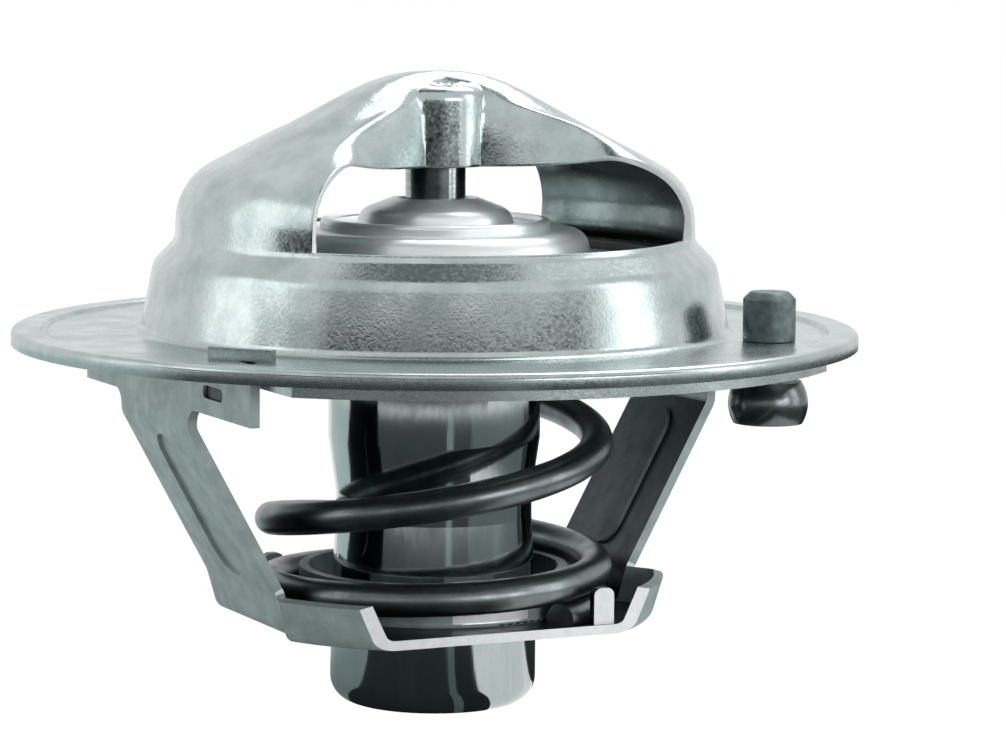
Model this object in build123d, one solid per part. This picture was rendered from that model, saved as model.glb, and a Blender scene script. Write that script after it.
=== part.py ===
from build123d import *
from math import asin, atan, cos, degrees, hypot, radians, sin, tan
import os

# Engine thermostat, millimetres. The Z axis is the axis of the wax element. Z = 0 is the seating
# face under the flange, X runs through the two straps and legs, and the windows face -Y and +Y.

# Overall sizes
flange_diameter = 54.0
height_above = 18.0
depth_below = 22.5

# Flange of the bridge housing and the ring under it
housing_sheet = 0.8
ring_sheet = 0.7
ring_inset = 1.0
ring_flat = 17.9
ring_bore_radius = 16.9
rim_width = 2.0
rim_raise = 0.2
rim_round = 0.35

# Dome of the housing
dome_base_radius = 18.85
dome_base_fillet = 0.7
shoulder_radius = 17.95
shoulder_height = 5.9
shoulder_fillet = 1.5
neck_radius = 16.6
neck_height = 7.3
neck_fillet = 0.8
crown_radius = 16.45
crown_drop = 7.05
crown_fillet = 4.0
cap_start_radius = 3.3
cap_fillet = 11.0
sill_height = 7.6
strap_half_angle = 38.5

# Saddle that pinches the straps together over the piston
saddle_reach = 9.8
saddle_hem_drop = 6.0
saddle_crest_half_width = 1.3
saddle_hem_half_width = 1.4
saddle_crease_spread = 3.8
saddle_crease_drop = 0.95
saddle_crest_drop = 0.12
saddle_skirt_bulge = 0.15
socket_radius = 3.0
socket_drop = 1.1
socket_round = 1.2
socket_depth = 3.6

# Piston
piston_radius = 1.93
piston_foot = -3.0
piston_chamfer = 0.3
slide_clearance = 0.05

# Wax cup, with its waist and the collar that is crimped over the guide
cup_radius = 6.62
cup_wall = 0.6
cup_corner = 1.6
waist_radius = 6.3
waist_foot = -10.4
waist_top = -8.9
waist_step = 1.0
waist_bend = 0.5
collar_bend = 0.7
lip_bend = 0.25
collar_radius = 6.8
collar_foot = -5.35
collar_top = -1.6
lip_radius = 5.9

# What the cup holds
diaphragm_sheet = 0.6
plunger_length = 2.2
backing_disc_thickness = 0.5
guide_foot = -8.8
guide_bore_foot = -5.9
grease_radius = 4.9
fill_clearance = 0.02

# Guide above the cup
guide_seat_radius = 5.5
guide_neck_step = 0.35
bell_step = 0.5
bell_shoulder_radius = 4.8
bell_shoulder_height = 9.15
bell_top = 10.05
bell_round = 1.0
mouth_round = 0.2
mouth_radius = 2.5
wiper_radius = 2.9
wiper_foot = 8.6
wiper_height = 1.0

# Valve disc, its moulded seal and the ring that locks it on the guide
hat_sheet = 0.6
hat_top = 8.0
hat_top_radius = 9.6
hat_wall_radius = 10.1
hat_brim_top = 5.9
hat_round = 1.2
hat_brim_round = 0.7
seat_clearance = 0.35
seal_overhang = 0.9
seal_grip = 0.9
seal_shoulder = 6.1
seal_cover_below = 0.3
seal_cover_above = 0.6
seal_bevel = 0.6
lock_ring_radius = 7.35
lock_ring_wall = 0.75
lock_ring_rise = 0.65
lock_ring_sheet = 0.35
lock_ring_round = 0.25

# Spring frame: tabs under the flange, slanted legs and the pan that carries the spring
frame_sheet = 0.6
tab_gap = 0.15
tab_reach_long = 14.4
tab_reach = 13.6
tab_reach_short = 10.4
tab_drop = 2.3
tab_fillet = 1.0
left_leg_width = 11.6
right_leg_width = 9.8
leg_offset = 1.45
leg_knee = -3.7
leg_root_lap = 0.3
leg_knee_fillet = 1.5
leg_foot_bend = 2.0
leg_foot_radius = 12.8
leg_floor_radius = 12.0
bead_width = 4.0
bead_length = 10.6
bead_depth = 0.25
bead_middle = -9.2
pan_bottom = -17.0
pan_radius = 14.8
pan_floor_radius = 14.0
pan_chord = 10.9
pan_rim_height = 2.7
pan_bend = 1.0
pan_collar_bore = 8.05
pan_collar_height = 3.3
pan_collar_bend = 0.9
pan_pocket = 11.0
pan_blend = 1.9
lug_width = 3.8
lug_head_width = 4.3
lug_head_height = 0.75
lug_twist = 38.0
lug_slot_clearance = 0.05
lug_inset = 0.2
stop_width = 1.4
stop_height = 2.3
stop_round = 0.5
stop_x = 6.9
stop_inset = 0.55
mark_length = 3.2
mark_height = 0.8
mark_y = 8.4
mark_z = -0.9

# Spring: closed and ground end turns, a run where the pitch opens, and the open middle
wire_radius = 1.05
coil_radius = 10.45
coil_start_angle = -65.0
end_turn_angle = 300.0
opening_angle = 460.0
open_pitch = 11.6
end_turn_gap = 0.05
ground_depth = 0.8
coil_step_angle = 30.0

# Air bleed pin
bleed_inset = 5.25
bleed_angle = -41.0
bleed_hole_radius = 1.1
bleed_stem_radius = 0.85
plug_radius = 1.65
plug_height = 3.1
plug_chamfer = 0.45
ball_radius = 2.5
ball_above = 1.4
ball_below = 1.25
bleed_play = 1.0

# Places worked out from the sizes above
flange_radius = flange_diameter / 2
ring_radius = flange_radius - ring_inset
bleed_radius = flange_radius - bleed_inset
crown_height = height_above - crown_drop
saddle_hem_height = height_above - saddle_hem_drop
socket_top = height_above - socket_drop
flange_top = ring_sheet + housing_sheet
dome_slope = (height_above - crown_height) / (crown_radius - cap_start_radius)
dome_angle = atan(dome_slope)
saddle_end_half_width = saddle_reach * tan(radians(strap_half_angle))
bore_radius = piston_radius + slide_clearance
piston_top = saddle_hem_height + socket_depth
cup_bottom = -depth_below
cup_floor = cup_bottom + cup_wall
hat_underside = hat_top - hat_sheet
seat_slope = (shoulder_radius - neck_radius) / (neck_height - shoulder_height)
seat_radius = (shoulder_radius - seat_slope * (seal_shoulder - shoulder_height)
               - housing_sheet * hypot(1, seat_slope))
seal_outer_radius = seat_radius - seat_clearance
brim_radius = seal_outer_radius - seal_overhang
seal_inner_radius = brim_radius - seal_grip
spring_top = hat_brim_top - hat_sheet
end_pitch = 2 * wire_radius + end_turn_gap
pan_floor = pan_bottom + frame_sheet
pan_rim_top = pan_bottom + pan_rim_height
tab_middle = ring_flat + tab_gap + frame_sheet / 2
tab_outer = tab_middle + frame_sheet / 2
left_leg = (leg_offset - left_leg_width / 2, leg_offset + left_leg_width / 2)
right_leg = (leg_offset - right_leg_width / 2, leg_offset + right_leg_width / 2)
leg_slope = (tab_outer - leg_foot_radius) / (leg_knee - pan_rim_top)
stop_y = pan_chord - stop_inset
bleed_place = (bleed_radius * cos(radians(bleed_angle)), bleed_radius * sin(radians(bleed_angle)))


def ring(inner, outer, low, high):
    """A plain ring about Z."""
    face = Circle(outer) - Circle(inner)
    return Pos(0, 0, low) * extrude(face, high - low)


def rod(radius, low, high):
    """A plain round rod about Z."""
    return Pos(0, 0, low) * extrude(Circle(radius), high - low)


def slab(x_range, y_range, z_range):
    """A rectangular block between two corners."""
    low, high = zip(x_range, y_range, z_range)
    size = [b - a for a, b in zip(low, high)]
    middle = [(a + b) / 2 for a, b in zip(low, high)]
    return Pos(*middle) * Box(*size)


def turned(outline, rounds=()):
    """Revolve a closed outline of (radius, height) points about Z, after rounding some corners."""
    face = make_face(Polyline(*outline, close=True))
    for corner, radius in rounds:
        nearest = face.vertices().sort_by_distance((*corner, 0))[0]
        face = fillet(nearest, radius)
    return revolve(Plane.XZ * face, Axis.Z, 360)


def pressed(outline, fillets, thickness, side):
    """Revolve a sheet that follows an open outline with rounded bends, on one side of it."""
    path = FilletPolyline(*outline, radius=fillets)
    band = make_face(offset(path, amount=thickness, side=side, closed=True))
    return revolve(Plane.XZ * band, Axis.Z, 360)


def both_ends(solid):
    """A piece and its copy half a turn round Z."""
    return solid + Rot(0, 0, 180) * solid


# Bridge housing: flange, dome with two windows, and the saddle, all pressed from one sheet

def dome_height(radius):
    """Height of the dome's outer face at a radius inside its crown."""
    cap_tangent = cap_fillet * tan(dome_angle / 2)
    flat_end = cap_start_radius - cap_tangent
    cap_end = cap_start_radius + cap_tangent * cos(dome_angle)
    if radius >= cap_end:
        return height_above - dome_slope * (radius - cap_start_radius)
    across = max(radius - flat_end, 0)
    return height_above - cap_fillet + (cap_fillet ** 2 - across ** 2) ** 0.5


def saddle_face(distance):
    """Cross-section of the pinched strap at X = distance: an inverted U that opens outwards."""
    share = distance / saddle_reach
    ridge = dome_height(distance)
    crease_y = saddle_crest_half_width + saddle_crease_spread * share
    crease_z = dome_height(hypot(distance, crease_y)) - saddle_crease_drop * (1 - share ** 2)
    hem_y = saddle_hem_half_width + (saddle_end_half_width - saddle_hem_half_width) * share
    dome_hem_z = dome_height(hypot(saddle_reach, saddle_end_half_width))
    hem_z = saddle_hem_height + (dome_hem_z - saddle_hem_height) * share ** 3
    skirt_y = (crease_y + hem_y) / 2 + saddle_skirt_bulge * (1 - share)
    skirt_z = dome_height(hypot(distance, skirt_y)) * share + (crease_z + hem_z) / 2 * (1 - share)
    crest_z = dome_height(hypot(distance, crease_y / 2)) - saddle_crest_drop * (1 - share)
    half = [(hem_y, hem_z), (skirt_y, skirt_z), (crease_y, crease_z), (crease_y / 2, crest_z),
            (0, ridge)]
    outer = half + [(-y, z) for y, z in reversed(half[:-1])]
    inner = []
    for place, (y, z) in enumerate(outer):
        before = outer[max(place - 1, 0)]
        after = outer[min(place + 1, len(outer) - 1)]
        run = hypot(after[0] - before[0], after[1] - before[1])
        normal = ((before[1] - after[1]) / run, (after[0] - before[0]) / run)
        inner.append((y + normal[0] * housing_sheet, z + normal[1] * housing_sheet))
    hem_inset = housing_sheet * (1 - share)
    hem_depth = housing_sheet / cos(dome_angle) * share
    inner[0] = (hem_y - hem_inset, hem_z - hem_depth)
    inner[-1] = (hem_inset - hem_y, hem_z - hem_depth)
    outer = [Vector(distance, y, z) for y, z in outer]
    inner = [Vector(distance, y, z) for y, z in inner]
    edges = [Spline(*outer), Line(outer[-1], inner[-1]), Spline(*reversed(inner)), Line(inner[0], outer[0])]
    return Face(Wire(edges))


def make_housing():
    outline = [
        (flange_radius, flange_top),
        (dome_base_radius, flange_top),
        (shoulder_radius, shoulder_height),
        (neck_radius, neck_height),
        (crown_radius, crown_height),
        (cap_start_radius, height_above),
        (0, height_above),
    ]
    wall = crown_height - neck_height
    crown_round = min(crown_fillet, wall)
    fillets = [dome_base_fillet, shoulder_fillet, neck_fillet, crown_round, cap_fillet]
    shell = pressed(outline, fillets, housing_sheet, Side.LEFT)
    reach = 2 * flange_radius
    edge = (reach * sin(radians(strap_half_angle)), reach * cos(radians(strap_half_angle)))
    wedge = make_face(Polyline((0, 0), (edge[1], edge[0]), (-edge[1], edge[0]), close=True))
    windows = both_ends(Pos(0, 0, sill_height) * extrude(wedge, height_above))
    crown = slab((-saddle_reach, saddle_reach), (-reach, reach), (sill_height, 2 * height_above))
    shell = shell - windows - crown
    sections = [saddle_face(saddle_reach * share) for share in (0, 0.16, 0.34, 0.55, 0.78)]
    sections.append(shell.faces().filter_by(Axis.X).sort_by(Axis.X)[-1])
    half = loft(sections)
    saddle = half + mirror(half, Plane.YZ)
    socket = rod(socket_radius, saddle_hem_height, socket_top)
    top_edge = socket.edges().filter_by(GeomType.CIRCLE).sort_by(Axis.Z)[-1]
    socket = fillet(top_edge, socket_round)
    shell = shell + saddle + socket - rod(piston_radius, piston_foot, piston_top)
    rim = turned(
        [(flange_radius - rim_width, ring_sheet), (flange_radius, ring_sheet),
         (flange_radius, flange_top + rim_raise), (flange_radius - rim_width, flange_top + rim_raise)],
        [((flange_radius, flange_top + rim_raise), rim_round), ((flange_radius, ring_sheet), rim_round / 2)],
    )
    slot_width = frame_sheet + 2 * lug_slot_clearance
    slot = Pos(-tab_middle, lug_middle_y, ring_sheet) * Box(
        slot_width, lug_width + 2 * lug_slot_clearance, 2 * housing_sheet + rim_raise)
    bleed_hole = Pos(*bleed_place, 0) * rod(bleed_hole_radius, 0, 2 * flange_top)
    return shell + rim - both_ends(slot) - bleed_hole


# Support ring: flat ring under the flange, cut straight where the frame's tabs stand

def make_support_ring():
    plate = ring(ring_bore_radius, ring_radius, 0, ring_sheet)
    plate = plate & slab((-ring_flat, ring_flat), (-ring_radius, ring_radius), (0, ring_sheet))
    return plate - Pos(*bleed_place, 0) * rod(bleed_hole_radius, 0, ring_sheet)


# Spring frame: one folded strip that hangs from the flange and carries the spring

lug_middle_y = -(tab_reach_long - lug_width / 2 - lug_inset)


def make_tab(front, back, leg):
    """One tab with the root of its leg, as a flat sheet on the -X side."""
    leg_front, leg_back = leg
    root = leg_knee + leg_root_lap
    outline = [(front, ring_sheet), (front, -tab_drop), (leg_front, -tab_drop), (leg_front, root),
               (leg_back, root), (leg_back, -tab_drop), (back, -tab_drop), (back, ring_sheet)]
    face = make_face(Polyline(*outline, close=True))
    for corner in ((leg_front, -tab_drop), (leg_back, -tab_drop)):
        face = fillet(face.vertices().sort_by_distance((*corner, 0))[0], tab_fillet)
    sheet = extrude(Plane.YZ * face, frame_sheet)
    return Pos(-tab_outer, 0, 0) * sheet


def wall_band(floor_radius, top_radius):
    """Cross-section of the pan's wall with a strip of its floor, in the XZ plane."""
    path = FilletPolyline((pan_pocket, pan_bottom), (floor_radius, pan_bottom), (top_radius, pan_rim_top),
                          radius=pan_bend)
    return make_face(offset(path, amount=frame_sheet, side=Side.LEFT, closed=True))


def blend_angles(leg):
    """Angles from the -X axis, in degrees, at which the round wall starts on each side of a leg."""
    return [degrees(asin((pan_blend + abs(edge)) / pan_radius)) for edge in leg]


def make_leg(leg):
    """One leg on the -X side, from the pan's floor to its knee, with the wall drawn in beside it."""
    front, back = leg
    path = FilletPolyline(
        (pan_pocket, pan_bottom), (leg_floor_radius, pan_bottom), (leg_foot_radius, pan_rim_top),
        (tab_outer, leg_knee), (tab_outer, -tab_drop), radius=[pan_bend, leg_foot_bend, leg_knee_fillet])
    band = make_face(offset(path, amount=frame_sheet, side=Side.LEFT, closed=True))
    strip = extrude(Plane.XZ * band, (back - front) / 2, both=True)
    solid = Pos(0, leg_offset, 0) * (Rot(0, 0, 180) * strip)
    round_wall = Rot(0, 0, 180) * (Plane.XZ * wall_band(pan_floor_radius, pan_radius))
    straight_wall = Rot(0, 0, 180) * (Plane.XZ * wall_band(leg_floor_radius, leg_foot_radius))
    for edge, side, turn in zip(leg, (1, -1), blend_angles(leg)):
        solid += loft([Pos(0, edge, 0) * straight_wall, Rot(0, 0, side * turn) * round_wall], ruled=True)
    middle_x = -(leg_foot_radius + leg_slope * (bead_middle - pan_rim_top))
    face_plane = Plane(origin=(middle_x, leg_offset, bead_middle), x_dir=(-leg_slope, 0, 1),
                       z_dir=(-1, 0, -leg_slope))
    bead = SlotOverall(bead_length, bead_width)
    pressed_in = extrude(face_plane * bead, -bead_depth)
    pushed_out = extrude(face_plane.offset(-frame_sheet) * offset(bead, -bead_depth), -bead_depth)
    return solid + pushed_out - pressed_in


def drawn_in(leg):
    """The sector of the pan on the -X side that the leg and its blends take the place of."""
    corners = [(-pan_pocket, leg[1]), (-pan_pocket, leg[0])]
    before, after = [radians(angle) for angle in blend_angles(leg)]
    for reach in (pan_pocket, 2 * pan_radius):
        corners.append((-reach * cos(before), -reach * sin(before)))
    for reach in (2 * pan_radius, pan_pocket):
        corners.append((-reach * cos(after), reach * sin(after)))
    return Pos(0, 0, pan_bottom) * extrude(make_face(Polyline(*corners, close=True)), height_above)


def make_spring_frame():
    outline = [(pan_collar_bore, pan_bottom + pan_collar_height), (pan_collar_bore, pan_bottom),
               (pan_floor_radius, pan_bottom), (pan_radius, pan_rim_top)]
    dish = pressed(outline, [pan_collar_bend, pan_bend], frame_sheet, Side.LEFT)
    dish = dish - drawn_in(left_leg) - mirror(drawn_in(right_leg), Plane.YZ)
    chord = slab((-pan_radius, pan_radius), (-pan_chord, pan_chord), (pan_bottom, height_above))
    dish = dish & chord
    legs = make_leg(left_leg) + mirror(make_leg(right_leg), Plane.YZ)
    left_tab = make_tab(-tab_reach_long, tab_reach, left_leg)
    right_tab = mirror(make_tab(-tab_reach_short, tab_reach, right_leg), Plane.YZ)
    lug_stem = Pos(-tab_middle, lug_middle_y, (ring_sheet + flange_top) / 2) * Box(
        frame_sheet, lug_width, housing_sheet)
    lug_head = Pos(-tab_middle, lug_middle_y, flange_top + lug_head_height / 2) * (
        Rot(0, 0, lug_twist) * Box(frame_sheet, lug_head_width, lug_head_height))
    stop = Pos(stop_x, -stop_y, pan_floor + stop_height / 2) * Box(stop_width, frame_sheet, stop_height)
    stop = fillet(stop.edges().filter_by(Axis.Y).group_by(Axis.Z)[-1], stop_round)
    mark = Pos(-tab_outer, -mark_y, mark_z) * extrude(
        Plane.YZ * SlotOverall(mark_length, mark_height), frame_sheet)
    frame = dish + legs + left_tab + right_tab + both_ends(lug_stem + lug_head) + both_ends(stop)
    return frame - both_ends(mark)


# Piston: ground pin, held in the saddle's socket

def make_piston():
    body = rod(piston_radius, piston_foot, piston_top)
    ends = body.edges().filter_by(GeomType.CIRCLE)
    return chamfer(ends, piston_chamfer)


# Wax element: cup, charge, diaphragm, grease, plunger, backing disc, guide and wiper

def make_wax_cup():
    outline = [(0, cup_bottom), (cup_radius, cup_bottom), (cup_radius, waist_foot - waist_step),
               (waist_radius, waist_foot), (waist_radius, waist_top), (collar_radius, collar_foot),
               (collar_radius, collar_top), (lip_radius, collar_top)]
    return pressed(outline, [cup_corner, waist_bend, waist_bend, waist_bend, collar_bend, lip_bend], cup_wall, Side.LEFT)


def make_wax_charge():
    inner = cup_radius - cup_wall - fill_clearance
    waist = waist_radius - cup_wall - fill_clearance
    top = guide_foot - diaphragm_sheet
    outline = [(0, cup_floor), (inner, cup_floor), (inner, waist_foot - waist_step - cup_wall),
               (waist, waist_foot - cup_wall), (waist, top), (0, top)]
    return turned(outline, [((inner, cup_floor), cup_corner - cup_wall + fill_clearance)])


def make_diaphragm():
    return rod(waist_radius - cup_wall - fill_clearance, guide_foot - diaphragm_sheet, guide_foot)


def make_grease_charge():
    top = piston_foot - backing_disc_thickness - plunger_length
    return turned([(0, guide_foot), (grease_radius, guide_foot), (bore_radius, guide_bore_foot),
                   (bore_radius, top), (0, top)])


def make_plunger():
    top = piston_foot - backing_disc_thickness
    return rod(piston_radius, top - plunger_length, top)


def make_backing_disc():
    return rod(piston_radius, piston_foot - backing_disc_thickness, piston_foot)


def make_guide():
    skirt = collar_radius - cup_wall - fill_clearance
    foot = waist_radius - cup_wall - fill_clearance
    shoulder = collar_top - cup_wall - fill_clearance
    collar_seat = hat_top + lock_ring_sheet
    guide_neck_radius = guide_seat_radius + guide_neck_step
    bell_radius = guide_seat_radius - bell_step
    outline = [(bore_radius, wiper_foot), (bore_radius, guide_bore_foot), (grease_radius, guide_foot),
               (foot, guide_foot), (skirt, collar_foot), (skirt, shoulder), (guide_neck_radius, shoulder),
               (guide_neck_radius, hat_underside), (guide_seat_radius, hat_underside),
               (guide_seat_radius, collar_seat), (bell_radius, collar_seat),
               (bell_shoulder_radius, bell_shoulder_height), (mouth_radius, bell_top),
               (mouth_radius, wiper_foot + wiper_height), (wiper_radius, wiper_foot + wiper_height),
               (wiper_radius, wiper_foot)]
    shoulder_edge = (bell_shoulder_radius, bell_shoulder_height)
    return turned(outline, [(shoulder_edge, bell_round), ((mouth_radius, bell_top), mouth_round)])


def make_wiper():
    return ring(bore_radius, wiper_radius, wiper_foot, wiper_foot + wiper_height)


# Valve disc with its moulded seal, and the ring that locks the disc on the guide

def make_valve_disc():
    outline = [(guide_seat_radius, hat_top), (hat_top_radius, hat_top), (hat_wall_radius, hat_brim_top),
               (brim_radius, hat_brim_top)]
    return pressed(outline, [hat_round, hat_brim_round], hat_sheet, Side.RIGHT)


def make_valve_seal():
    foot = spring_top - seal_cover_below
    top = hat_brim_top + seal_cover_above
    outline = [(seal_inner_radius, foot), (seal_outer_radius, foot), (seal_outer_radius, seal_shoulder),
               (seal_outer_radius - seal_bevel, top), (seal_inner_radius, top)]
    return turned(outline) - ring(hat_wall_radius, brim_radius, spring_top, hat_brim_top)


def make_lock_ring():
    inner = lock_ring_radius - lock_ring_wall
    top = hat_top + lock_ring_rise
    outline = [(guide_seat_radius, hat_top), (lock_ring_radius, hat_top), (lock_ring_radius, top),
               (inner, top), (inner, hat_top + lock_ring_sheet), (guide_seat_radius, hat_top + lock_ring_sheet)]
    return turned(outline, [((lock_ring_radius, top), lock_ring_round), ((inner, top), lock_ring_round)])


# Spring: round wire wound right-handed, with close end turns

def coil_rise(angle, total, middle):
    """Height gained by the wire's centre after an angle from its lower end, in degrees."""
    if angle > total / 2:
        return middle * 2 - coil_rise(total - angle, total, middle)
    gain = end_pitch * angle / 360
    share = min(max(angle - end_turn_angle, 0) / opening_angle, 1)
    gain += (open_pitch - end_pitch) / 360 * opening_angle * (share ** 3 - share ** 4 / 2)
    past = max(angle - end_turn_angle - opening_angle, 0)
    return gain + (open_pitch - end_pitch) / 360 * past


def make_spring():
    foot = pan_floor + wire_radius - ground_depth
    rise = spring_top - wire_radius + ground_depth - foot
    closed = end_turn_angle + opening_angle
    closed_rise = end_pitch * closed / 360 + (open_pitch - end_pitch) / 360 * opening_angle / 2
    total = 2 * (closed + (rise / 2 - closed_rise) * 360 / open_pitch)
    steps = round(total / coil_step_angle)
    points = []
    for step in range(steps + 1):
        angle = total * step / steps
        turn = radians(coil_start_angle + angle)
        height = foot + coil_rise(angle, total, rise / 2)
        points.append((coil_radius * cos(turn), coil_radius * sin(turn), height))
    path = Spline(*points)
    section = Plane(origin=path @ 0, z_dir=path % 0) * Circle(wire_radius)
    reach = coil_radius + 2 * wire_radius
    return sweep(section, path) & slab((-reach, reach), (-reach, reach), (pan_floor, spring_top))


# Air bleed: a turned pin that hangs loose in the flange, with a plug pressed on its upper end

def make_bleed_pin():
    middle = -bleed_play - ball_above
    ball = Pos(0, 0, middle) * Sphere(ball_radius)
    ball = ball & rod(ball_radius, middle - ball_below, -bleed_play)
    stem = rod(bleed_stem_radius, middle, flange_top + plug_height / 2)
    return Pos(*bleed_place, 0) * (ball + stem)


def make_bleed_plug():
    body = rod(plug_radius, flange_top, flange_top + plug_height)
    top_edge = body.edges().filter_by(GeomType.CIRCLE).sort_by(Axis.Z)[-1]
    body = chamfer(top_edge, plug_chamfer)
    body = body - rod(bleed_stem_radius, flange_top, flange_top + plug_height / 2)
    return Pos(*bleed_place, 0) * body


nodes = {
    "bridge_housing": make_housing,
    "support_ring": make_support_ring,
    "spring_frame": make_spring_frame,
    "piston": make_piston,
    "wax_cup": make_wax_cup,
    "wax_charge": make_wax_charge,
    "diaphragm": make_diaphragm,
    "grease_charge": make_grease_charge,
    "rubber_plunger": make_plunger,
    "backing_disc": make_backing_disc,
    "guide_body": make_guide,
    "piston_wiper": make_wiper,
    "valve_disc": make_valve_disc,
    "valve_seal": make_valve_seal,
    "lock_ring": make_lock_ring,
    "main_spring": make_spring,
    "bleed_pin": make_bleed_pin,
    "bleed_plug": make_bleed_plug,
}

os.makedirs("parts", exist_ok=True)
for name, make in nodes.items():
    solid = make()
    export_step(solid, f"parts/{name}.step")
    print(name, round(solid.volume, 2))
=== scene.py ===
import bpy
import math
import numpy as np
from mathutils import Matrix, Vector


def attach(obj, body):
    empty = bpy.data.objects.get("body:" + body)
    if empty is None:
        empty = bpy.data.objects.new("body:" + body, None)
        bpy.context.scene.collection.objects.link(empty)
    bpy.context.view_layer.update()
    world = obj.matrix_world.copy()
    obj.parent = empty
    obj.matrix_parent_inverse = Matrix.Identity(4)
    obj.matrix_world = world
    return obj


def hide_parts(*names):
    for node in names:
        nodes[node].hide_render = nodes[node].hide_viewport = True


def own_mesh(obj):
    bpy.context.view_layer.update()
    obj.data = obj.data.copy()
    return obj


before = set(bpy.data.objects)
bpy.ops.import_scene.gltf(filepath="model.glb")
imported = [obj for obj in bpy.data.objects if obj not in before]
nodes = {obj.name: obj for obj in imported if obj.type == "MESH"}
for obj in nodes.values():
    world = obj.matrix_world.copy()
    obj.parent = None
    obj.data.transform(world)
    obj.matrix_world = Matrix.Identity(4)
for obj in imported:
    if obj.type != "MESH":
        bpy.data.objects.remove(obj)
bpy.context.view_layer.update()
scene = bpy.context.scene

# Bridge housing: flange, windowed dome and pinched saddle, deep-drawn and folded from one
# 0.8 mm sheet of stainless steel, tumbled so that it has a soft, mottled shine. Its lengths
# here are in millimetres, like those of all pieces below.

MM = 0.001
sheet = 0.8
speck_size = 0.24
eased_width = 0.09


def rounded(corners, radii, step=7.5):
    """Points (radius, height) along a run of straight lines whose inner corners are rounded."""
    points = [corners[0]]
    for before, corner, after, radius in zip(corners, corners[1:], corners[2:], radii):
        corner = np.array(corner, float)
        back = np.array(before, float) - corner
        ahead = np.array(after, float) - corner
        back /= np.linalg.norm(back)
        ahead /= np.linalg.norm(ahead)
        opening = math.acos(np.clip(back @ ahead, -1, 1))
        if radius <= 0:
            points.append(tuple(corner))
            continue
        tangent = radius / math.tan(opening / 2)
        middle = back + ahead
        centre = corner + middle / np.linalg.norm(middle) * radius / math.sin(opening / 2)
        first = corner + back * tangent - centre
        last = corner + ahead * tangent - centre
        sweep = math.atan2(first[0] * last[1] - first[1] * last[0], first @ last)
        count = max(2, math.ceil(abs(math.degrees(sweep)) / step))
        for i in range(count + 1):
            turn = sweep * i / count
            points.append((
                centre[0] + first[0] * math.cos(turn) - first[1] * math.sin(turn),
                centre[1] + first[0] * math.sin(turn) + first[1] * math.cos(turn),
            ))
    points.append(corners[-1])
    return points


def mesh_piece(name, points, faces, sharp=40):
    """A smooth-shaded mesh object from points in millimetres."""
    mesh = bpy.data.meshes.new(name)
    mesh.from_pydata([(x * MM, y * MM, z * MM) for x, y, z in points], [], faces)
    mesh.validate()
    mesh.polygons.foreach_set("use_smooth", [True] * len(mesh.polygons))
    mesh.set_sharp_from_angle(angle=math.radians(sharp))
    piece = bpy.data.objects.new(name, mesh)
    scene.collection.objects.link(piece)
    return piece


def metal(name, bright, dark, rough, cloud, peel, dent, stretch=(1, 1, 1), bare=1.0, pitted=0.0):
    """Metal whose shade and roughness wander between two values over clouds of one size.

    Its skin has dents of a second size, peel, and a depth, dent. Less than fully bare, it
    scatters light as well. Where it is pitted, fine specks are rougher by up to that much.
    """
    material = bpy.data.materials.new(name)
    material.use_nodes = True
    tree = material.node_tree
    shader = tree.nodes["Principled BSDF"]
    shader.inputs["Metallic"].default_value = bare
    place = tree.nodes.new("ShaderNodeTexCoord")
    noises = []
    for size, detail in ((cloud, 6.0), (peel, 2.0)):
        scaled = tree.nodes.new("ShaderNodeMapping")
        scaled.inputs["Scale"].default_value = [s / (size * MM) for s in stretch]
        tree.links.new(place.outputs["Object"], scaled.inputs["Vector"])
        noise = tree.nodes.new("ShaderNodeTexNoise")
        noise.inputs["Scale"].default_value = 1.0
        noise.inputs["Detail"].default_value = detail
        noise.inputs["Roughness"].default_value = 0.6
        tree.links.new(scaled.outputs["Vector"], noise.inputs["Vector"])
        noises.append(noise.outputs["Fac"])
    clouds, dents = noises
    shade = tree.nodes.new("ShaderNodeValToRGB")
    shade.color_ramp.elements[0].position = 0.32
    shade.color_ramp.elements[0].color = (*dark, 1)
    shade.color_ramp.elements[1].position = 0.68
    shade.color_ramp.elements[1].color = (*bright, 1)
    tree.links.new(clouds, shade.inputs["Fac"])
    tree.links.new(shade.outputs["Color"], shader.inputs["Base Color"])
    shine = tree.nodes.new("ShaderNodeMapRange")
    shine.inputs["From Min"].default_value = 0.3
    shine.inputs["From Max"].default_value = 0.7
    shine.inputs["To Min"].default_value = rough[1]
    shine.inputs["To Max"].default_value = rough[0]
    tree.links.new(clouds, shine.inputs["Value"])
    pits = tree.nodes.new("ShaderNodeTexNoise")
    pits.inputs["Scale"].default_value = 1 / (speck_size * MM)
    pits.inputs["Detail"].default_value = 2.0
    tree.links.new(place.outputs["Object"], pits.inputs["Vector"])
    speck = tree.nodes.new("ShaderNodeMapRange")
    speck.inputs["From Min"].default_value = 0.36
    speck.inputs["From Max"].default_value = 0.66
    speck.inputs["To Max"].default_value = pitted
    tree.links.new(pits.outputs["Fac"], speck.inputs["Value"])
    roughness = tree.nodes.new("ShaderNodeMath")
    tree.links.new(shine.outputs["Result"], roughness.inputs[0])
    tree.links.new(speck.outputs["Result"], roughness.inputs[1])
    tree.links.new(roughness.outputs["Value"], shader.inputs["Roughness"])
    skin = tree.nodes.new("ShaderNodeBump")
    skin.inputs["Strength"].default_value = 1.0
    skin.inputs["Distance"].default_value = dent * MM
    tree.links.new(dents, skin.inputs["Height"])
    tree.links.new(skin.outputs["Normal"], shader.inputs["Normal"])
    return material


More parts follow.
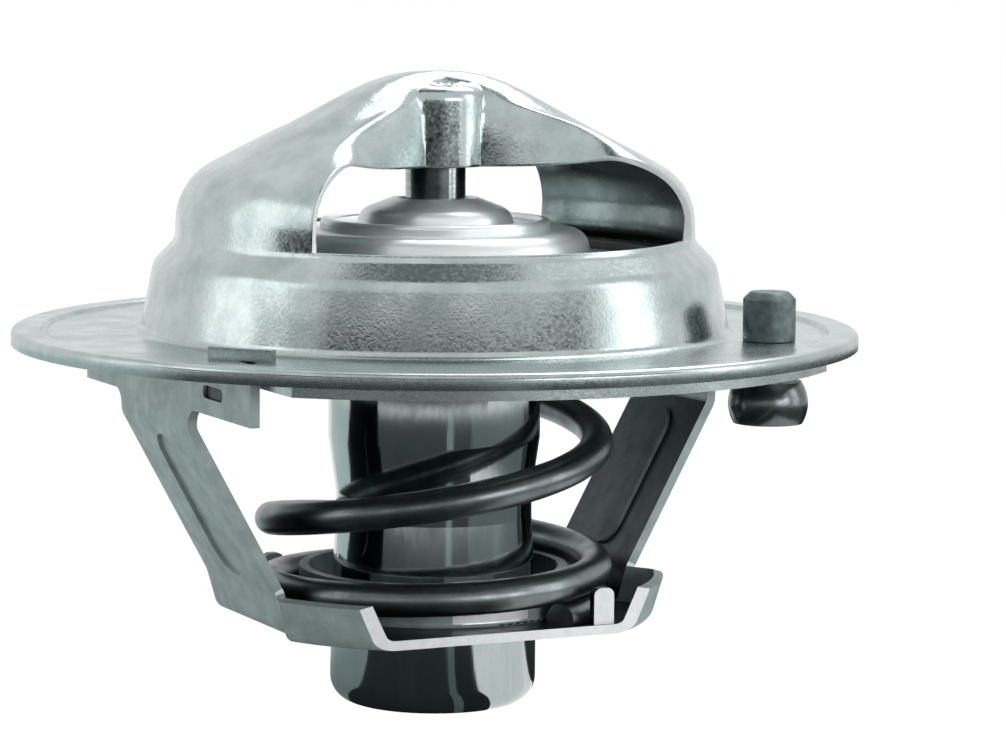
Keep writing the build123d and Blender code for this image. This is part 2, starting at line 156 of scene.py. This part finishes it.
steel = metal("tumbled_stainless", (0.49, 0.55, 0.55), (0.34, 0.4, 0.4), (0.12, 0.22), 2.6, 0.2,
              0.007, pitted=0.1)
# near-white and partly unmetallic: bare sheared steel, with a painted highlight on the cut faces and
# on every eased edge of the frame
cut_and_glint_steel = metal("cut_edge_and_painted_glint", (1.0, 1.0, 1.0), (0.82, 0.86, 0.86), (0.3, 0.42), 0.7, 0.2,
                  0.01, bare=0.3)
flange_steel = metal("flange_stainless", (0.45, 0.51, 0.51), (0.33, 0.385, 0.385), (0.19, 0.29),
                     2.6, 0.28, 0.005, pitted=0.05)
# the inner face of the same sheet, painted darker as the shade inside the dome and straps
shaded_lining_steel = metal("inner_stainless_painted_shade", (0.2, 0.25, 0.25), (0.12, 0.155, 0.155), (0.24, 0.36),
                     2.6, 0.28, 0.012)

# the outer face from the rim's lower edge, over the flange and up the dome
meridian = rounded(
    [(27.0, 0.72), (27.0, 1.7), (25.15, 1.7), (25.0, 1.42), (24.8, 1.42), (24.65, 1.5),
     (18.85, 1.5), (17.95, 5.9), (16.6, 7.3), (16.45, 10.95), (3.3, 18.0), (0, 18.0)],
    [0.38, 0.1, 0.05, 0.05, 0.1, 0.7, 1.5, 0.8, 4.0, 11.0])
meridian = np.array(meridian)
run = np.concatenate([[0], np.cumsum(np.linalg.norm(np.diff(meridian, axis=0), axis=1))])
sill_height = 7.57
wall_radius = 17.0

# the dome is a full ring up to the windows' sill, and two straps above it
sill_row = int(np.argmax((meridian[:, 1] >= sill_height) & (meridian[:, 0] < wall_radius)))
lower_rows = list(range(sill_row + 1))
saddle_reach = 9.8
strap_half_angle = math.radians(38.5)
strap_steps = 96
window_steps = 84
strap_rows = 26
saddle_rows = 56


def dome_height(radius):
    """Height of the dome's outer face at a radius inside its crown."""
    return np.interp(-radius, -meridian[sill_row:, 0], meridian[sill_row:, 1])


def through(points, count):
    """Evenly spaced points on a smooth curve through the given points."""
    points = np.array(points, float)
    ends = np.vstack([2 * points[0] - points[1], points, 2 * points[-1] - points[-2]])
    curve = []
    for a, b, c, d in zip(ends, ends[1:], ends[2:], ends[3:]):
        for t in np.linspace(0, 1, 24, endpoint=False):
            curve.append(0.5 * (2 * b + (c - a) * t + (2 * a - 5 * b + 4 * c - d) * t * t
                                + (3 * b - a - 3 * c + d) * t ** 3))
    curve.append(points[-1])
    curve = np.array(curve)
    length = np.concatenate([[0], np.cumsum(np.linalg.norm(np.diff(curve, axis=0), axis=1))])
    wanted = np.linspace(0, length[-1], count)
    return np.stack([np.interp(wanted, length, curve[:, i]) for i in range(curve.shape[1])], axis=1)


crest_half_width = 1.3
crease_spread = 3.8
crease_depth = 0.95
crest_depth = 0.12
skirt_bulge = 0.15
hem_half_width = 1.4
hem_height = 12.0
socket_radius = 3.25
socket_top = 17.15
socket_round = 0.9
saddle_end_half_width = saddle_reach * math.tan(strap_half_angle)


def saddle_line(x):
    """The outer face of the pinched strap where it is cut at x, from its -Y hem to its +Y hem."""
    share = abs(x) / saddle_reach
    crease_y = crest_half_width + crease_spread * share
    crease_z = dome_height(math.hypot(x, crease_y)) - crease_depth * (1 - share ** 2)
    hem_y = hem_half_width + (saddle_end_half_width - hem_half_width) * share
    end_z = dome_height(math.hypot(saddle_reach, saddle_end_half_width))
    hem_z = hem_height + (end_z - hem_height) * share ** 3
    skirt_y = (crease_y + hem_y) / 2 + skirt_bulge * (1 - share)
    skirt_z = dome_height(math.hypot(x, skirt_y)) * share + (crease_z + hem_z) / 2 * (1 - share)
    crest_y = crease_y / 2
    crest_z = dome_height(math.hypot(x, crest_y)) - crest_depth * (1 - share)
    half = [(-hem_y, hem_z), (-skirt_y, skirt_z), (-crease_y, crease_z), (-crest_y, crest_z)]
    whole = half + [(0, dome_height(abs(x)))] + [(-y, z) for y, z in reversed(half)]
    line = through(whole, strap_steps + 1)

    # near the piston the pinched sides bulge out round its socket
    into = np.clip((line[:, 1] - socket_top + socket_round) / socket_round, 0, 1)
    girth = socket_radius - socket_round * (1 - np.sqrt(1 - into ** 2))
    girth[line[:, 1] > socket_top] = 0
    least = np.sqrt(np.clip(girth ** 2 - x * x, 0, None))
    y = np.where(np.abs(line[:, 0]) < least, np.sign(line[:, 0]) * least, line[:, 0])
    y[strap_steps // 2] = 0
    return [(x, a, b) for a, b in zip(y, line[:, 1])]


points = []
ring_angles = []
for start in (0, math.pi):
    strap_end = start + strap_half_angle
    next_strap = start + math.pi - strap_half_angle
    ring_angles += list(np.linspace(start - strap_half_angle, strap_end, strap_steps + 1))
    ring_angles += list(np.linspace(strap_end, next_strap, window_steps + 1)[1:-1])
around = len(ring_angles)
for row in lower_rows:
    radius, height = meridian[row]
    points += [(radius * math.cos(a), radius * math.sin(a), height) for a in ring_angles]
faces = []
for row in range(len(lower_rows) - 1):
    for i in range(around):
        j = (i + 1) % around
        low, high = row * around, (row + 1) * around
        faces.append((low + i, low + j, high + j, high + i))
top_ring = (len(lower_rows) - 1) * around
strip = [[top_ring + i for i in range(strap_steps + 1)]]


def strap_point(share_across, share_up, side):
    """A point of the strap between the sill and the saddle's end."""
    end_radius = saddle_reach * math.hypot(1, share_across * math.tan(strap_half_angle))
    end_angle = math.atan(share_across * math.tan(strap_half_angle))
    first = run[sill_row]
    last = np.interp(-end_radius, -meridian[sill_row:, 0], run[sill_row:])
    along = first + (last - first) * share_up
    radius = np.interp(along, run, meridian[:, 0])
    height = np.interp(along, run, meridian[:, 1])
    angle = share_across * strap_half_angle * (1 - share_up) + end_angle * share_up
    return (side * radius * math.cos(angle), radius * math.sin(angle), height)


across = np.linspace(-1, 1, strap_steps + 1)
for row in range(1, strap_rows):
    strip.append(list(range(len(points), len(points) + strap_steps + 1)))
    points += [strap_point(u, row / strap_rows, 1) for u in across]
for row in range(2 * saddle_rows + 1):
    strip.append(list(range(len(points), len(points) + strap_steps + 1)))
    points += saddle_line(saddle_reach * (1 - row / saddle_rows))
for row in range(strap_rows - 1, 0, -1):
    strip.append(list(range(len(points), len(points) + strap_steps + 1)))
    points += [strap_point(u, row / strap_rows, -1) for u in across]
far_start = top_ring + strap_steps + window_steps
strip.append([far_start + strap_steps - i for i in range(strap_steps + 1)])

# the straps run smoothly into the saddle: rows near the two joins are evened out
points = np.array(points)
strip_rows = np.array(strip)
places = np.arange(len(strip_rows))
joins = (strap_rows, len(strip_rows) - 1 - strap_rows)
join_rows = 6.0
smoothing_passes = 60
nearness = sum(np.exp(-((places - join) / join_rows) ** 2) for join in joins)[1:-1, None, None]
for _ in range(smoothing_passes):
    course = points[strip_rows]
    course[1:-1] += 0.5 * nearness * ((course[:-2] + course[2:]) / 2 - course[1:-1])
    points[strip_rows] = course
for low, high in zip(strip, strip[1:]):
    for i in range(strap_steps):
        faces.append((low[i], low[i + 1], high[i + 1], high[i]))
housing = mesh_piece("bridge_housing_sheet", points, faces, sharp=180)

# the drawn straps are thinner than the flange, and thinner still along their cut edges
drawn_from, drawn_to, drawn_share = 7.6, 9.0, 0.68
cut_columns, cut_share = 8, 0.7
drawn_thin = housing.vertex_groups.new(name="sheet_left")
from_cut = np.minimum(np.arange(strap_steps + 1), strap_steps - np.arange(strap_steps + 1))
sheet_left = np.ones(len(points))
for line in strip:
    drawn = np.interp(points[line, 2], [drawn_from, drawn_to], [1.0, drawn_share])
    sheet_left[line] = drawn * np.interp(from_cut, [0, cut_columns], [cut_share, 1.0])
for index, share in enumerate(sheet_left):
    drawn_thin.add([index], float(share), "REPLACE")
for material in (steel, cut_and_glint_steel, flange_steel, shaded_lining_steel):
    housing.data.materials.append(material)
cut_and_glint_slot, flange_slot, shaded_lining_slot = 1, 2, 3
flange_top = 1.72
for face in housing.data.polygons:
    if face.center.z < flange_top * MM:
        face.material_index = flange_slot
thick = housing.modifiers.new("sheet", "SOLIDIFY")
thick.thickness = sheet * MM
thick.offset = -1
thick.vertex_group = "sheet_left"
thick.material_offset_rim = cut_and_glint_slot
# the inner face takes the darker lining: painted shade
thick.material_offset = shaded_lining_slot
edge = housing.modifiers.new("cut_edges", "BEVEL")
edge.width = eased_width * MM
edge.segments = 2
edge.limit_method = "ANGLE"
edge.angle_limit = math.radians(55)
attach(housing, "body")
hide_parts("bridge_housing")


def turned(name, outline, steps=180, sharp=40):
    """A closed outline of (radius, height) points in millimetres, turned about the Z axis."""
    points, faces, rings = [], [], []
    angles = np.linspace(0, 2 * math.pi, steps, endpoint=False)
    for radius, height in outline:
        if radius < 1e-6:
            rings.append([len(points)] * steps)
            points.append((0, 0, height))
        else:
            rings.append(list(range(len(points), len(points) + steps)))
            points += [(radius * math.cos(a), radius * math.sin(a), height) for a in angles]
    for low, high in zip(rings, rings[1:] + rings[:1]):
        for i in range(steps):
            j = (i + 1) % steps
            face = []
            for corner in (low[i], low[j], high[j], high[i]):
                if corner not in face:
                    face.append(corner)
            if len(face) > 2:
                faces.append(face)
    return mesh_piece(name, points, faces, sharp)


def closed_round(corners, radii, step=15):
    """A closed outline with its corners rounded; a radius of 0 keeps a corner."""
    around_corners = [corners[-1]] + list(corners) + [corners[0]]
    return rounded(around_corners, radii, step)[1:-1]


def finish_turned(piece, body, node, material):
    """Put a turned piece on its body, in the place of its CAD node."""
    piece.data.materials.append(material)
    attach(piece, body)
    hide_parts(node)


# Support ring: a blanked flat ring, spot-welded under the flange. It is cut straight where
# the frame's tabs stand. Its plain solid is kept.

nodes["support_ring"].data.materials.clear()
nodes["support_ring"].data.materials.append(flange_steel)

# Spring frame: a strip of stainless sheet, folded into tabs, slanted legs and the pan
# that carries the spring. Its lugs pass through the flange and are twisted to lock it.

frame_steel = metal("frame_sheet_steel", (0.42, 0.51, 0.5), (0.28, 0.35, 0.34), (0.36, 0.46),
                    1.6, 0.2, 0.012, bare=0.3)
# the same sheet painted near-black: painted shade on the legs' inner faces, the pan's floor and the
# tab marks
painted_shade_steel = metal("frame_sheet_painted_shade", (0.035, 0.045, 0.05), (0.02, 0.028, 0.032), (0.3, 0.42),
                    1.6, 0.2, 0.01)
pan_steel = metal("pan_sheet_steel", (0.42, 0.51, 0.5), (0.28, 0.35, 0.34), (0.4, 0.5), 1.6, 0.2,
                  0.012, bare=0.1)
frame_sheet = nodes["spring_frame"]
frame_sheet.data.polygons.foreach_set("use_smooth", [True] * len(frame_sheet.data.polygons))
frame_sheet.data.materials.clear()
for material in (frame_steel, cut_and_glint_steel, painted_shade_steel, flange_steel, pan_steel):
    frame_sheet.data.materials.append(material)
side_slot, cut_and_glint_slot, painted_shade_slot, lug_slot, pan_slot = range(5)

# the cut ends of the pan get the near-white cut-edge colour, partly a painted highlight; the legs'
# inner faces and the pan's floor are painted near-black as shade; and the lugs match the flange
end_cut_top, tab_foot, pan_floor, pan_top, lug_foot = -13.2, -3.7, -15.9, -13.0, 1.6
cut_reach = 3.0
for face in frame_sheet.data.polygons:
    outward = face.normal.x * face.center.x + face.normal.y * face.center.y
    height = face.center.z / MM
    if abs(face.normal.y) > 0.95 and abs(face.center.y) > cut_reach * MM:
        face.material_index = cut_and_glint_slot if height < end_cut_top else pan_slot
    elif height < tab_foot and outward < -0.2 * math.hypot(face.center.x, face.center.y):
        face.material_index = painted_shade_slot if abs(face.normal.y) < 0.3 else side_slot
    elif height < pan_floor and face.normal.z > 0.9:
        face.material_index = painted_shade_slot
    elif height > lug_foot:
        face.material_index = lug_slot
    elif height < pan_top and outward > 0:
        face.material_index = pan_slot
ease = frame_sheet.modifiers.new("eased_edges", "BEVEL")
ease.width = eased_width * MM
ease.segments = 2
ease.limit_method = "ANGLE"
ease.angle_limit = math.radians(40)
# the eased edges take the cut-edge colour, a painted highlight along them
ease.material = cut_and_glint_slot
shading = frame_sheet.modifiers.new("flat_faces", "WEIGHTED_NORMAL")
shading.keep_sharp = True

# Tab marks: a small floor closes the slot in each of the frame's tabs, so that it shows as a stamped
# mark. Its near-black colour is painted shade in the mark's dent.

mark_middle = (18.35, 8.4, -0.9)
mark_size = (0.2, 3.2, 0.8)
mark_faces = [(0, 1, 3, 2), (4, 6, 7, 5), (0, 4, 5, 1), (2, 3, 7, 6), (0, 2, 6, 4), (1, 5, 7, 3)]
for side, name in ((-1, "tab_mark_shade_left"), (1, "tab_mark_shade_right")):
    corners = []
    for dx in (-0.5, 0.5):
        for dy in (-0.5, 0.5):
            for dz in (-0.5, 0.5):
                corners.append((side * mark_middle[0] + dx * mark_size[0],
                                side * mark_middle[1] + dy * mark_size[1],
                                mark_middle[2] + dz * mark_size[2]))
    mark = mesh_piece(name, corners, mark_faces)
    mark.data.materials.append(painted_shade_steel)
    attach(mark, "body")

# Piston: a ground and polished steel pin. Its upper end sits in the saddle's socket.

ground = metal("ground_steel", (0.4, 0.44, 0.44), (0.22, 0.25, 0.25), (0.14, 0.24), 0.6, 0.2, 0.004,
               stretch=(0.2, 0.2, 3))
piston = turned("piston_pin", closed_round([(0, -3.0), (1.93, -3.0), (1.93, 15.55), (0, 15.55)],
                                           [0, 0.3, 0.3, 0]), steps=96)
finish_turned(piston, "body", "piston", ground)

# Wax cup: a deep-drawn and polished cup. Its waist grips the diaphragm, and its lip is
# crimped over the guide's shoulder.

polished = metal("polished_cup_steel", (0.5, 0.55, 0.55), (0.4, 0.45, 0.45), (0.07, 0.13), 1.2, 0.35,
                 0.004, stretch=(1, 1, 0.15))


def sheet_outline(line, thickness):
    """The closed outline of a sheet that lies inside an open line, on its left."""
    line = np.array(line, float)
    ahead = np.diff(line, axis=0)
    ahead /= np.linalg.norm(ahead, axis=1)[:, None]
    into = np.stack([-ahead[:, 1], ahead[:, 0]], axis=1)
    first = np.vstack([into[:1], into])
    last = np.vstack([into, into[-1:]])
    middle = first + last
    middle /= np.linalg.norm(middle, axis=1)[:, None]
    reach = thickness / np.clip((middle * last).sum(axis=1), 0.3, 1)
    inner = line + middle * reach[:, None]
    inner[line[:, 0] < 1e-6, 0] = 0
    return [tuple(p) for p in line] + [tuple(p) for p in inner[::-1]]


cup_line = rounded(
    [(0, -22.5), (6.62, -22.5), (6.62, -16.6), (6.3, -10.4), (6.3, -8.9), (6.8, -5.35), (6.8, -1.6),
     (5.9, -1.6)], [1.6, 0.5, 0.8, 0.8, 0.7, 0.25])
cup = turned("wax_cup_shell", sheet_outline(cup_line, 0.6))
finish_turned(cup, "valve", "wax_cup", polished)

# Fillings: wax, diaphragm, grease, rubber plunger and the disc under the piston, all closed in
# by the cup and the guide, and the wiper in the guide's mouth. Their plain solids are kept.


def plain(name, colour, roughness):
    """A material of one colour with no metal in it."""
    material = bpy.data.materials.new(name)
    material.use_nodes = True
    shader = material.node_tree.nodes["Principled BSDF"]
    shader.inputs["Base Color"].default_value = (*colour, 1)
    shader.inputs["Roughness"].default_value = roughness
    return material


black_rubber = plain("black_rubber", (0.025, 0.027, 0.028), 0.55)
wax = plain("copper_wax", (0.5, 0.3, 0.17), 0.6)
grease = plain("grease", (0.7, 0.66, 0.45), 0.4)
hard_disc = plain("white_disc", (0.85, 0.85, 0.83), 0.5)
for node_name, material in (
        ("wax_charge", wax), ("diaphragm", black_rubber), ("grease_charge", grease),
        ("rubber_plunger", black_rubber), ("backing_disc", hard_disc), ("piston_wiper", black_rubber)):
    nodes[node_name].data.materials.clear()
    nodes[node_name].data.materials.append(material)

# Guide: turned from bar. Its bell carries the wiper, and its neck carries the valve disc.

# near-white and half unmetallic, so that the guide, the hat and the lock ring look lit inside the
# dome: painted light
brightened_turned_metal = metal("turned_guide_painted_light", (0.93, 0.98, 0.98), (0.78, 0.84, 0.84), (0.28, 0.4), 1.5, 0.25,
                     0.006, stretch=(0.2, 0.2, 3), bare=0.55)
guide_corners = [(1.98, 8.6), (1.98, -5.9), (4.9, -8.8), (5.68, -8.8), (6.18, -5.35), (6.18, -2.22),
                 (5.85, -2.22), (5.85, 7.4), (5.5, 7.4), (5.5, 8.35), (5.0, 8.35), (4.8, 9.15),
                 (2.5, 10.05), (2.5, 9.6), (2.9, 9.6), (2.9, 8.6)]
guide = turned("guide_turning", closed_round(
    guide_corners, [0, 0, 0, 0, 0, 0.1, 0, 0, 0, 0, 0.1, 1.0, 0.2, 0, 0, 0]))
finish_turned(guide, "valve", "guide_body", brightened_turned_metal)

# Valve disc: a hat pressed from stainless sheet. It fits round the guide's neck, and the spring
# holds it up against the lock ring.

disc_line = rounded([(5.5, 8.0), (9.6, 8.0), (10.1, 5.9), (15.4, 5.9)], [1.2, 0.7])
disc = turned("valve_hat", sheet_outline(disc_line, -0.6))
finish_turned(disc, "valve", "valve_disc", brightened_turned_metal)

# Valve seal: a moulded rubber ring that clasps the disc's edge and closes the way through the
# flange.

seal = turned("valve_seal_rubber", closed_round(
    [(14.5, 5.0), (16.3, 5.0), (16.3, 6.1), (15.7, 6.5), (14.5, 6.5), (14.5, 5.95), (15.4, 5.95),
     (15.4, 5.25), (14.5, 5.25)], [0.2, 0.2, 0.15, 0.15, 0.15, 0, 0, 0, 0]))
finish_turned(seal, "valve", "valve_seal", black_rubber)

# Lock ring: a pressed ring with a raised outer rim, driven onto the guide's neck above the
# disc.

lock = turned("lock_ring_pressing", closed_round(
    [(5.5, 8.0), (7.35, 8.0), (7.35, 8.65), (6.6, 8.65), (6.6, 8.35), (5.5, 8.35)],
    [0, 0, 0.3, 0.25, 0.1, 0]))
finish_turned(lock, "valve", "lock_ring", brightened_turned_metal)

# Main spring: cold-wound from dark drawn wire, with close end turns. It stands in the pan and
# pushes the valve disc up.

wire = metal("drawn_wire", (0.22, 0.25, 0.255), (0.13, 0.15, 0.155), (0.3, 0.4), 2.0, 0.25, 0.006)
wire_radius = 1.05
coil_radius = 10.45
spring_foot, spring_top = -16.4, 5.3
ground_depth = 0.8
coil_foot = spring_foot + wire_radius - ground_depth
coil_top = spring_top - wire_radius + ground_depth
end_turn, opening = 300.0, 460.0
open_pitch, end_pitch = 11.6, 2.15
wire_end = 65.0
valve_travel = 8.0


def coil_rise(angle, total, middle):
    """Height gained by the wire's centre after an angle from its lower end, in degrees."""
    if angle > total / 2:
        return middle * 2 - coil_rise(total - angle, total, middle)
    share = min(max(angle - end_turn, 0) / opening, 1)
    past = max(angle - end_turn - opening, 0)
    gain = (open_pitch - end_pitch) / 360 * (opening * (share ** 3 - share ** 4 / 2) + past)
    return gain + end_pitch * angle / 360


def tube(name, line, radius, sides=24):
    """A round wire along a line of points in millimetres, with flat ends."""
    line = [Vector(p) for p in line]
    points, faces = [], []
    for i, centre in enumerate(line):
        ahead = (line[min(i + 1, len(line) - 1)] - line[max(i - 1, 0)]).normalized()
        out = Vector((centre.x, centre.y, 0)).normalized()
        up = ahead.cross(out).normalized()
        out = up.cross(ahead)
        for k in range(sides):
            turn = 2 * math.pi * k / sides
            points.append(centre + out * (radius * math.cos(turn)) + up * (radius * math.sin(turn)))
    for i in range(len(line) - 1):
        for k in range(sides):
            n = (k + 1) % sides
            faces.append((i * sides + k, i * sides + n, (i + 1) * sides + n, (i + 1) * sides + k))
    faces.append(list(range(sides)))
    faces.append([len(points) - 1 - k for k in range(sides)])
    return mesh_piece(name, points, faces)


rise = coil_top - coil_foot
closed = end_turn + opening
closed_rise = end_pitch * closed / 360 + (open_pitch - end_pitch) / 360 * opening / 2
total = 2 * (closed + (rise / 2 - closed_rise) * 360 / open_pitch)
coil = []
for angle in np.linspace(0, total, 400):
    turn = math.radians(angle - wire_end)
    coil.append((coil_radius * math.cos(turn), coil_radius * math.sin(turn),
                 coil_foot + coil_rise(angle, total, rise / 2)))
spring = tube("main_spring_wire", coil, wire_radius)

# both ends are ground flat
for vertex in spring.data.vertices:
    vertex.co.z = min(max(vertex.co.z, spring_foot * MM), spring_top * MM)
spring.data.materials.append(wire)
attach(spring, "body")
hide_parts("main_spring")
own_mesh(spring)

# Air bleed: a turned pin hung loose in the flange, with a ball below and a plug pressed on
# above, both blackened.

dark_metal = metal("blackened_metal", (0.17, 0.19, 0.195), (0.1, 0.115, 0.12), (0.18, 0.28), 1.2,
                   0.3, 0.008)
plug_metal = metal("plug_metal", (0.17, 0.21, 0.215), (0.085, 0.11, 0.115), (0.42, 0.6), 0.8, 0.25,
                   0.015)
bleed_circle = 21.75
bleed_angle = math.radians(-41)
bleed_x = bleed_circle * math.cos(bleed_angle)
bleed_y = bleed_circle * math.sin(bleed_angle)


def shifted(piece):
    """Move a turned piece's points to the bleed hole."""
    for vertex in piece.data.vertices:
        vertex.co.x += bleed_x * MM
        vertex.co.y += bleed_y * MM
    return piece


ball_middle, ball_radius = -2.4, 2.5
ball_side = []
for latitude in np.linspace(-30.0, 33.6, 18):
    angle = math.radians(latitude)
    ball_side.append((ball_radius * math.cos(angle), ball_middle + ball_radius * math.sin(angle)))
pin = shifted(turned("bleed_pin_ball", [(0, ball_side[0][1])] + ball_side
                     + [(0.85, ball_side[-1][1]), (0.85, 3.05), (0, 3.05)], steps=72))
finish_turned(pin, "bleed", "bleed_pin", dark_metal)
plug = shifted(turned("bleed_plug_cap", closed_round(
    [(0, 3.05), (0.85, 3.05), (0.85, 1.5), (1.65, 1.5), (1.65, 4.15), (1.2, 4.6), (0, 4.6)],
    [0, 0, 0, 0.1, 0.12, 0.12, 0]), steps=72))
finish_turned(plug, "bleed", "bleed_plug", plug_metal)

# Studio: a pale floor just under the cup at its lowest, soft lamps overhead, in front and at
# each side, and dark flags that only the metal's shine shows.

floor_reach = 4
floor_height = -22.52 - valve_travel
diffuse_floor = 0.8
white_glow = 1.06
glow_share = 0.93


def matte(name, colour, roughness):
    """A material of one colour with no shine."""
    material = plain(name, colour, roughness)
    material.node_tree.nodes["Principled BSDF"].inputs["Specular IOR Level"].default_value = 0.0
    return material


def seen_or_mirrored(tree):
    """1 for rays from the camera and off a glossy face, and 0 for those that light the object."""
    rays = tree.nodes.new("ShaderNodeLightPath")
    seen = tree.nodes.new("ShaderNodeMath")
    seen.operation = "MAXIMUM"
    tree.links.new(rays.outputs["Is Camera Ray"], seen.inputs[0])
    tree.links.new(rays.outputs["Is Glossy Ray"], seen.inputs[1])
    return seen.outputs["Value"]


floor_mesh = bpy.data.meshes.new("floor")
floor_mesh.from_pydata([(-floor_reach, -floor_reach, 0), (floor_reach, -floor_reach, 0),
                        (floor_reach, floor_reach, 0), (-floor_reach, floor_reach, 0)],
                       [], [(0, 1, 2, 3)])
floor = bpy.data.objects.new("floor", floor_mesh)
floor.location = (0, 0, floor_height * MM)
scene.collection.objects.link(floor)
floor_paint = matte("floor_paint", (diffuse_floor, diffuse_floor, diffuse_floor), 0.9)
tree = floor_paint.node_tree
shader = tree.nodes["Principled BSDF"]
glow = tree.nodes.new("ShaderNodeEmission")
glow.inputs["Color"].default_value = (1, 1, 1, 1)
glow.inputs["Strength"].default_value = white_glow
weight = tree.nodes.new("ShaderNodeMath")
weight.operation = "MULTIPLY"
weight.inputs[1].default_value = glow_share
mixed = tree.nodes.new("ShaderNodeMixShader")
tree.links.new(seen_or_mirrored(tree), weight.inputs[0])
tree.links.new(weight.outputs["Value"], mixed.inputs["Fac"])
tree.links.new(shader.outputs["BSDF"], mixed.inputs[1])
tree.links.new(glow.outputs["Emission"], mixed.inputs[2])
tree.links.new(mixed.outputs["Shader"], tree.nodes["Material Output"].inputs["Surface"])
floor_mesh.materials.append(floor_paint)

world = bpy.data.worlds.new("studio")
scene.world = world
world.use_nodes = True
tree = world.node_tree
room = tree.nodes["Background"]
room.inputs["Color"].default_value = (0.9, 0.95, 0.95, 1)
room.inputs["Strength"].default_value = 0.35
backdrop = tree.nodes.new("ShaderNodeBackground")
backdrop.inputs["Color"].default_value = (1, 1, 1, 1)
backdrop.inputs["Strength"].default_value = 1.0
mixed = tree.nodes.new("ShaderNodeMixShader")
tree.links.new(seen_or_mirrored(tree), mixed.inputs["Fac"])
tree.links.new(room.outputs["Background"], mixed.inputs[1])
tree.links.new(backdrop.outputs["Background"], mixed.inputs[2])
tree.links.new(mixed.outputs["Shader"], tree.nodes["World Output"].inputs["Surface"])


def lamp(name, place, size, watts):
    """A soft rectangular lamp at a place, turned towards the seat's centre; lengths in metres."""
    light = bpy.data.lights.new(name, "AREA")
    light.shape = "RECTANGLE"
    light.size, light.size_y = size
    light.energy = watts
    stand = bpy.data.objects.new(name, light)
    stand.location = place
    stand.rotation_euler = Vector(place).to_track_quat("Z", "Y").to_euler()
    scene.collection.objects.link(stand)


lamp("overhead_lamp", (0.22, 0.14, 0.42), (0.3, 0.3), 1.2)
lamp("left_lamp", (-0.39, 0.1, 0.12), (0.3, 0.35), 0.3)
lamp("right_lamp", (0.36, -0.22, 0.1), (0.16, 0.3), 0.3)
lamp("front_lamp", (0.12, -0.43, 0.06), (0.3, 0.12), 0.5)

front_bearing = -115.0
flag_reach = 0.06
mat_height = -0.022512
mat_reach = 0.19


def flag(name, start, end, low, high, reach, shade, near=None):
    """A dark studio flag that only the metal's shine shows.

    It is an arc of a screen, or of a mat that starts near the part. Its ends are in degrees to
    the right of the camera, and its heights and reach in metres.
    """
    points, faces = [], []
    for i, angle in enumerate(np.linspace(start, end, 25)):
        turn = math.radians(angle + front_bearing)
        for radius, z in ((near or reach, low), (reach, high)):
            points.append((radius * math.cos(turn), radius * math.sin(turn), z))
        if i:
            faces.append((2 * i - 2, 2 * i, 2 * i + 1, 2 * i - 1))
    mesh = bpy.data.meshes.new(name)
    mesh.from_pydata(points, [], faces)
    mesh.materials.append(matte(name, shade, 1.0))
    screen = bpy.data.objects.new(name, mesh)
    scene.collection.objects.link(screen)
    screen.visible_camera = False
    screen.visible_diffuse = False
    screen.visible_shadow = False


# darkening the dome's wall, the saddle's column, all that is below the flange, and what faces up
flag("near_flag", -38, 54, 0.0068, 0.0192, flag_reach, (0.01, 0.012, 0.012))
flag("column_flag", -64, -36, 0.004, 0.0145, flag_reach, (0.02, 0.024, 0.024))
flag("low_flag", -70, 60, -0.0224, 0.0, 0.241, (0.03, 0.035, 0.035))
flag("canopy_flag", -95, 95, 0.25, 0.25, 0.105, (0.25, 0.28, 0.28), near=0.002)

# darkening the polished cup in upright stripes
for name, start, end, near, shade in (
        ("left_mat", -146, -68, 0.001, 0.85),
        ("front_mat", -68, 14, 0.001, 0.09),
        ("slit_mat", 14, 20.5, 0.001, 0.4),
        ("centre_mat", 20.5, 40, 0.001, 0.07),
        ("right_mat", 40, 112, 0.05, 0.2),
        ("back_mat", 112, 175, 0.001, 0.05)):
    tint = (shade, shade * 1.15, shade * 1.15)
    flag(name, start, end, mat_height, mat_height, mat_reach, tint, near)

# Camera: the photograph's angle, a little above the flange, from the left of the front window.

image_width = 1006
focal_pixels = 3980
axis_right, axis_down = 503 - 434.5, 352 - 370
camera_reach = 0.255
azimuth = math.radians(-25.0)
elevation = math.radians(6.3)
tilt = math.radians(0.35)
back = Vector((math.sin(azimuth) * math.cos(elevation), -math.cos(azimuth) * math.cos(elevation),
               math.sin(elevation)))
right = Vector((math.cos(azimuth), math.sin(azimuth), 0))
up = back.cross(right)
turn = Matrix((right, up, back)).transposed().to_4x4()
lens = bpy.data.cameras.new("camera")
lens.sensor_width = 36.0
lens.lens = focal_pixels / image_width * lens.sensor_width
lens.shift_x = axis_right / image_width
lens.shift_y = axis_down / image_width
lens.clip_start = 0.01
camera = bpy.data.objects.new("camera", lens)
camera.matrix_world = Matrix.Translation(back * camera_reach) @ Matrix.Rotation(tilt, 4, back) @ turn
scene.collection.objects.link(camera)
scene.camera = camera
scene.view_settings.view_transform = "Standard"
